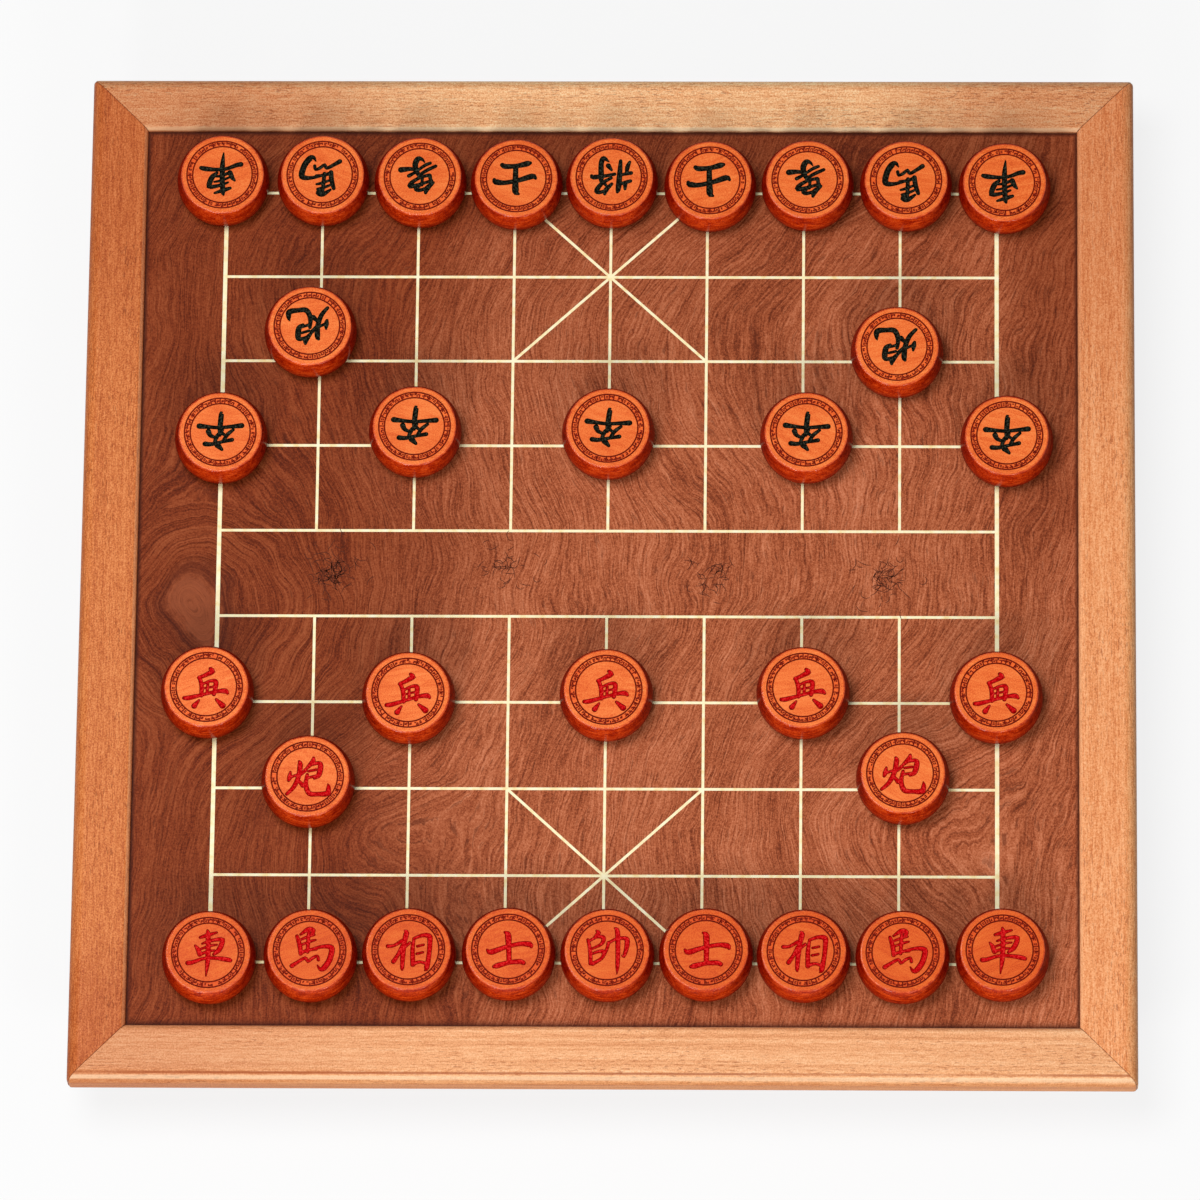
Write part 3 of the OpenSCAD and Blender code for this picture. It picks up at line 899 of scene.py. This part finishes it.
def carved_face(strokes, weight, size, rng, rim_r):
    """Triangles of the face: points (x, y, depth), triangles, the kind of each, and the rim's points."""
    spots = []
    edges = []

    def draw(line, closed):
        first = len(spots)
        spots.extend(Vector(point) for point in line)
        last = len(spots) - 1
        edges.extend((i, i + 1) for i in range(first, last))
        if closed:
            edges.append((last, first))

    draw(circle(rim_r), True)
    for ring in RINGS:
        for share in (-1, -0.5, 0, 0.5, 1):
            draw(circle(ring + share * RING_PEN / 2), True)
    brushes = [brush_path(stroke, weight) for stroke in strokes]
    brushes = [(path * size, half) for path, half in brushes]
    frets = [(path, np.full(len(path), FRET_PEN / 2)) for path in fret_paths(rng)]
    for path, half in brushes:
        draw(stroke_outline(path, half, True), True)
        draw(path, False)
        for line in sides(path, half, 0.6):
            draw(line, False)
    for path, half in frets:
        draw(stroke_outline(path, half, False), True)
        draw(path, False)
    flat, _, faces, origins, _, _ = geometry.delaunay_2d_cdt(spots, edges, [], 0, 1e-4, True)
    flat = np.array([tuple(point) for point in flat])
    faces = np.array(faces)
    rim = {source: i for i, sources in enumerate(origins) for source in sources if source < AROUND}

    middles = flat[faces].mean(1)
    radius = np.hypot(*middles.T)
    kind = np.full(len(faces), FACE)
    for ring in RINGS:
        kind[abs(radius - ring) < RING_PEN / 2] = GROOVE
    for path, half in frets:
        kind[inside(middles, stroke_outline(path, half, False))] = GROOVE
    for path, half in brushes:
        kind[inside(middles, stroke_outline(path, half, True))] = INK

    point_radius = np.hypot(*flat.T)
    depth = np.zeros(len(flat))
    for ring in RINGS:
        away = (point_radius - ring) / (RING_PEN / 2)
        depth = np.maximum(depth, RING_DEPTH * np.sqrt(np.clip(1 - away ** 2, 0, 1)))
    for path, half in frets:
        near = abs(flat - path.mean(0)).max(1) < FRET_REACH
        depth[near] = np.maximum(depth[near], carved_depth(flat[near], path, half))
    for path, half in brushes:
        depth = np.maximum(depth, carved_depth(flat, path, half))
    depth[np.unique(faces[kind == FACE])] = 0
    return np.column_stack((flat, depth)), faces, kind, [rim[i] for i in range(AROUND)]


# Degrees from the near side at which painted shade starts to darken the flank, and over which it grows
SIDE_SHADE_START = 22
SIDE_SHADE_WIDTH = 45
# How much the tone of the wood differs between pieces of one kind
TONE_SPREAD = 0.2
# The stained band reaches this far past the middle lines of its two rings, in millimetres
BAND_SLACK = 0.01


def make_piece(node, glyph, weight, size, materials, turn, tone, seed):
    """One turned and carved playing piece in the place of its node."""
    rng = random.Random(seed)
    profile = piece_profile()
    points, faces, kind, rim = carved_face(GLYPHS[glyph], weight, size, rng, profile[0][0])
    verts = [(x, y, PIECE_H - depth) for x, y, depth in points]
    polygons = [tuple(int(i) for i in face) for face in faces]
    kinds = [int(k) for k in kind]
    row = rim
    for radius, height in profile[1:]:
        lower = [len(verts) + i for i in range(AROUND)]
        verts.extend((x, y, height) for x, y in circle(radius))
        for i in range(AROUND):
            j = (i + 1) % AROUND
            polygons.append((row[i], lower[i], lower[j], row[j]))
            kinds.append(FLANK)
        row = lower
    verts.append((0.0, 0.0, 0.0))
    for i in range(AROUND):
        polygons.append((row[i], len(verts) - 1, row[(i + 1) % AROUND]))
        kinds.append(FACE)

    mesh = bpy.data.meshes.new(node)
    mesh.from_pydata([(x * MM, y * MM, z * MM) for x, y, z in verts], [], polygons)
    mesh.polygons.foreach_set("material_index", kinds)
    mesh.polygons.foreach_set("use_smooth", [True] * len(polygons))
    bm = bmesh.new()
    bm.from_mesh(mesh)
    bmesh.ops.recalc_face_normals(bm, faces=bm.faces)
    for edge in bm.edges:
        mats = {face.material_index in (GROOVE, INK) for face in edge.link_faces}
        edge.smooth = len(mats) == 1
    bm.to_mesh(mesh)
    bm.free()
    shift = Vector([rng.uniform(-2, 2) for _ in range(3)])
    spin = Matrix.Rotation(rng.uniform(-0.5, 0.5), 3, "Z")
    set_grain(mesh, [spin @ vertex.co + shift for vertex in mesh.vertices])
    on_face = len(points)
    store(mesh, "cut", [*(points[:, 2] / STROKE_DEPTH), *[0.0] * (len(verts) - on_face)])
    store(mesh, "band", [
        float(i < on_face and RING_INNER - BAND_SLACK < math.hypot(x, y) < RING_OUTER + BAND_SLACK)
        for i, (x, y, _) in enumerate(verts)
    ])
    store(mesh, "tint", [tone + TONE_SPREAD * rng.random()] * len(verts))

    # Painted shade on the flank, deepest on its sides and back
    side_shades = []
    for vertex in mesh.vertices:
        heading = math.atan2(vertex.co.y, vertex.co.x) + turn + math.pi / 2
        away = abs(math.remainder(heading, 2 * math.pi))
        side_shades.append(min(1.0, max(0.0, (math.degrees(away) - SIDE_SHADE_START) / SIDE_SHADE_WIDTH)))
    store(mesh, "painted_side_shade", side_shades)

    piece = new_object(node + "_piece", mesh, materials)
    low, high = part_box(node)
    piece.location = ((low.x + high.x) / 2, (low.y + high.y) / 2, low.z)
    piece.rotation_euler = (0, 0, turn)
    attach(piece, node)
    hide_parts(node)


# Faint pen marks in the river

MARK_LIFT = 0.00002
# Spread, step and half width of the pen strokes, in millimetres
MARK_SPREADS = (2.4, 5.4)
MARK_STEP = 0.8
MARK_PEN = (0.05, 0.12)


def make_mark(name, centre, strokes, size, seed, material):
    """A small unreadable tangle of thin pen strokes on the panel."""
    rng = random.Random(seed)
    verts = []
    polygons = []
    for number in range(strokes):
        spread = MARK_SPREADS[number % 2] * size
        x, y = rng.gauss(0, spread), rng.gauss(0, spread)
        heading = rng.uniform(0, 2 * math.pi)
        bend = rng.uniform(-0.45, 0.45)
        spots = []
        for _ in range(rng.randint(4, 9)):
            spots.append((x, y))
            heading += bend + rng.uniform(-0.25, 0.25)
            x += MARK_STEP * math.cos(heading)
            y += MARK_STEP * math.sin(heading)
        path = np.array(spots)
        half = MARK_PEN[1] * np.sin(np.linspace(0.25, math.pi - 0.25, len(path))) + MARK_PEN[0]
        left, right = sides(path, half)
        first = len(verts)
        for pair in zip(left, right):
            verts.extend((centre[0] + a * MM, centre[1] + b * MM, PANEL_TOP + MARK_LIFT) for a, b in pair)
        for i in range(len(path) - 1):
            k = first + 2 * i
            polygons.append((k, k + 1, k + 3, k + 2))
    mesh = bpy.data.meshes.new(name)
    mesh.from_pydata(verts, [], polygons)
    mark = new_object(name, mesh, [material])
    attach(mark, "box")


# Case, drawers and feet

def soften(node, material, edge=0.0004):
    """A copy of a CAD node with its edges eased, in the node's place."""
    source = frame["nodes"][node]
    bm = bmesh.new()
    bm.from_mesh(source.data)
    bmesh.ops.remove_doubles(bm, verts=bm.verts, dist=0.00001)
    bmesh.ops.dissolve_limit(bm, angle_limit=math.radians(1), verts=bm.verts, edges=bm.edges)
    sharp = [e for e in bm.edges if e.is_manifold and e.calc_face_angle(0) > math.radians(35)]
    bmesh.ops.bevel(
        bm, geom=sharp, offset=edge, offset_type="OFFSET", segments=2, profile=0.5, affect="EDGES",
        clamp_overlap=True,
    )
    smooth_below(bm, 50)
    mesh = bpy.data.meshes.new(node)
    bm.to_mesh(mesh)
    bm.free()
    piece = new_object(node + "_part", mesh, [material])
    even_shading(piece)
    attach(piece, source["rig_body"])
    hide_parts(node)
    return piece


def drawer_parts(*parts):
    return [f"{side}_drawer_{part}" for side in ("left", "right") for part in parts]


def dress(node, material):
    """Gives a CAD node a material."""
    mesh = frame["nodes"][node].data
    mesh.materials.clear()
    mesh.materials.append(material)


# Making of the box

far_rail_wood = wood_rail("rail_far", srgb(210, 133, 79), srgb(247, 184, 130), srgb(255, 222, 174),
                          srgb(146, 70, 36), 0.5, 0.65, outer_round_painted_light=0.7,
                          ends=[(0, -0.05, -0.17, 1.0), (0, 0.10, 0.175, 0.8)])
near_rail_wood = wood_rail("rail_near", srgb(212, 140, 90), srgb(238, 170, 118), srgb(252, 198, 150),
                           srgb(164, 88, 48), 1.2, 0.0, 0.85, ends=[(0, -0.06, -0.21, 0.62)])
left_rail_wood = wood_rail("rail_left", srgb(170, 81, 38), srgb(209, 117, 60), srgb(234, 148, 89),
                           srgb(132, 56, 25), 0.5, 0.12,
                           ends=[(1, 0.07, 0.17, 0.6), (1, -0.155, -0.20, 0.6)])
right_rail_wood = wood_rail("rail_right", srgb(208, 118, 65), srgb(240, 157, 100), srgb(254, 187, 135),
                            srgb(168, 90, 50), 0.6, 0.1, outer_round_painted_light=1.0, ends=[(1, 0.01, 0.17, 0.62)])

quarter = math.pi / 2
make_rail("frame_near_rail", 0, HALF_W, HALF_D, near_rail_wood, 11)
make_rail("frame_right_rail", quarter, HALF_D, HALF_W, right_rail_wood, 12)
make_rail("frame_far_rail", 2 * quarter, HALF_W, HALF_D, far_rail_wood, 13)
make_rail("frame_left_rail", -quarter, HALF_D, HALF_W, left_rail_wood, 14)

dress("playing_panel", panel_material())
dress("grid_inlay", inlay_material())

case_x = wood_plain("case_wood_x", srgb(168, 92, 54), srgb(214, 138, 92), "x", 0.42)
case_y = wood_plain("case_wood_y", srgb(164, 88, 52), srgb(210, 134, 90), "y", 0.42)
board_x = wood_plain("board_wood_x", srgb(176, 132, 84), srgb(218, 180, 130), "x", 0.6)
board_y = wood_plain("board_wood_y", srgb(176, 132, 84), srgb(218, 180, 130), "y", 0.6)

for node in ("case_near_wall", "case_far_wall"):
    soften(node, case_x)
for node in ("drawer_posts", "drawer_lintels", "drawer_sills", *drawer_parts("front")):
    soften(node, case_y)
for node in ("case_base", "drawer_guides", *drawer_parts("near_side", "far_side")):
    soften(node, board_x)
for node in ("centre_divider", *drawer_parts("back", "bottom")):
    soften(node, board_y)
soften("felt_feet", felt_material(), 0.0003)

face_wood = piece_material()
flank_wood = flank_material()
burnt = groove_material()
red_ink = ink_material("ink_red", srgb(108, 0, 2), srgb(158, 0, 4), srgb(196, 2, 12), srgb(226, 48, 44))
black_ink = ink_material("ink_black", srgb(4, 4, 2), srgb(4, 4, 2), srgb(13, 13, 8), srgb(58, 60, 48))

# Turns of the pieces that sit noticeably askew, in degrees
ASKEW = {"black_cannon_left": 6, "red_cannon_right": -3}
# Ranks whose character differs between the two sides
DOUBLE_NAMES = ("elephant", "general", "soldier")
# Weight of the strokes and size of the characters of a side
BRUSH = {"red": (1.2, 0.96), "black": (1.25, 0.92)}
# Tone of the wood, from 0, deep, to 1, light: of the forward pieces, and of a side's back row
FRONT_TONE = 0.8
BACK_TONE = {"red": 0.0, "black": 0.58}

for number, node in enumerate(name for name in frame["nodes"] if name.split("_")[0] in ("red", "black")):
    side, rank = node.split("_")[:2]
    glyph = f"{rank}_{side}" if rank in DOUBLE_NAMES else rank
    ink = red_ink if side == "red" else black_ink
    slant = random.Random(100 + number).uniform(-2, 2)
    turn = math.radians(ASKEW.get(node, slant)) + (math.pi if side == "black" else 0)
    weight, size = BRUSH[side]
    tone = FRONT_TONE if rank in ("soldier", "cannon") else BACK_TONE[side]
    make_piece(node, glyph, weight, size, [face_wood, flank_wood, burnt, ink], turn, tone, 200 + number)

mark_ink = Shader("mark_ink").finish(srgb(84, 36, 20), 0.6, Specular_IOR_Level=0.1)
# Place in millimetres, number of pen strokes and size
MARKS = [(-119, 0, 110, 1.25), (-44, 2, 46, 1.2), (47, -1, 42, 1.15), (121, -2, 70, 1.1)]
for number, (x, y, strokes, size) in enumerate(MARKS):
    make_mark(f"river_mark_{number + 1}", (x * MM, y * MM), strokes, size, 40 + number, mark_ink)


# Floor, light and camera

FLOOR_HALF = 4.0
# What the floor adds to its own colour where the camera or a reflection sees it
FLOOR_WHITE = 0.82
WORLD_LIGHT = 0.125
LAMP_DISTANCE = 2.6


def make_floor():
    mesh = bpy.data.meshes.new("floor")
    corners = [(x * FLOOR_HALF, y * FLOOR_HALF, 0) for x, y in ((-1, -1), (1, -1), (1, 1), (-1, 1))]
    mesh.from_pydata(corners, [], [(0, 1, 2, 3)])
    s = Shader("floor_paper")
    white = s.times(s.seen(), FLOOR_WHITE)
    s.finish((0.12, 0.12, 0.12, 1.0), 0.9, Emission_Color=(1, 1, 1, 1), Emission_Strength=white)
    floor = new_object("floor", mesh, [s.material])


def make_world():
    """Even light from all round, seen as white by the camera and in reflections."""
    world = bpy.data.worlds.new("studio")
    bpy.context.scene.world = world
    s = Shader(owner=world)
    s.tree.nodes.clear()
    mix = s.add("ShaderNodeMixShader")
    s.link(s.seen(), mix.inputs[0])
    for strength, socket in ((WORLD_LIGHT, mix.inputs[1]), (1.0, mix.inputs[2])):
        light = s.add("ShaderNodeBackground", Color=(1, 1, 1, 1), Strength=strength)
        s.link(light.outputs[0], socket)
    s.link(mix.outputs[0], s.add("ShaderNodeOutputWorld").inputs[0])


def make_lamp(name, azimuth, elevation, width, share):
    """Square softbox that lights the box at a share of the level where colours render as written."""
    light = bpy.data.lights.new(name, "AREA")
    light.shape = "RECTANGLE"
    light.size = width
    light.size_y = width
    light.energy = share * math.pi ** 2 * LAMP_DISTANCE ** 2 / math.sin(math.radians(elevation))
    lamp = new_object(name, light)
    a, e = math.radians(azimuth), math.radians(elevation)
    # Azimuth 0 is in front of the box, and 90 to its right
    heading = (math.sin(a) * math.cos(e), -math.cos(a) * math.cos(e), math.sin(e))
    lamp.location = [LAMP_DISTANCE * part for part in heading]
    lamp.rotation_euler = lamp.location.to_track_quat("Z", "Y").to_euler()


make_floor()
make_world()
make_lamp("key", -105, 76, 1.2, 0.64)
make_lamp("front_left", -20, 30, 0.5, 0.17)
make_lamp("front_right", 20, 30, 0.5, 0.12)

# The camera stands in front of the box, well back, and is turned a little about its own axis
CAMERA_DISTANCE = 4.5
CAMERA_TILT = math.radians(18.1)
CAMERA_YAW = math.radians(5.06)
CAMERA_ROLL = math.radians(4.66)
CAMERA_AIM = Vector((-4.07, -11.7, 0)) * MM
CAMERA_LENS = 310.2


def make_camera():
    data = bpy.data.cameras.new("camera")
    data.lens = CAMERA_LENS
    data.sensor_width = 36
    data.clip_end = 100
    camera = new_object("camera", data)
    sin, cos = math.sin(CAMERA_TILT), math.cos(CAMERA_TILT)
    right, up, back = Vector((1, 0, 0)), Vector((0, cos, sin)), Vector((0, -sin, cos))
    rolled_right = right * math.cos(CAMERA_ROLL) - up * math.sin(CAMERA_ROLL)
    rolled_up = right * math.sin(CAMERA_ROLL) + up * math.cos(CAMERA_ROLL)
    spin = Matrix.Rotation(CAMERA_YAW, 3, "Z")
    axes = Matrix([spin @ rolled_right, spin @ rolled_up, spin @ back]).transposed()
    place = spin @ (back * CAMERA_DISTANCE + CAMERA_AIM) + Vector((0, 0, PANEL_TOP))
    camera.matrix_world = Matrix.Translation(place) @ axes.to_4x4()
    bpy.context.scene.camera = camera


make_camera()
bpy.context.scene.view_settings.view_transform = "Standard"
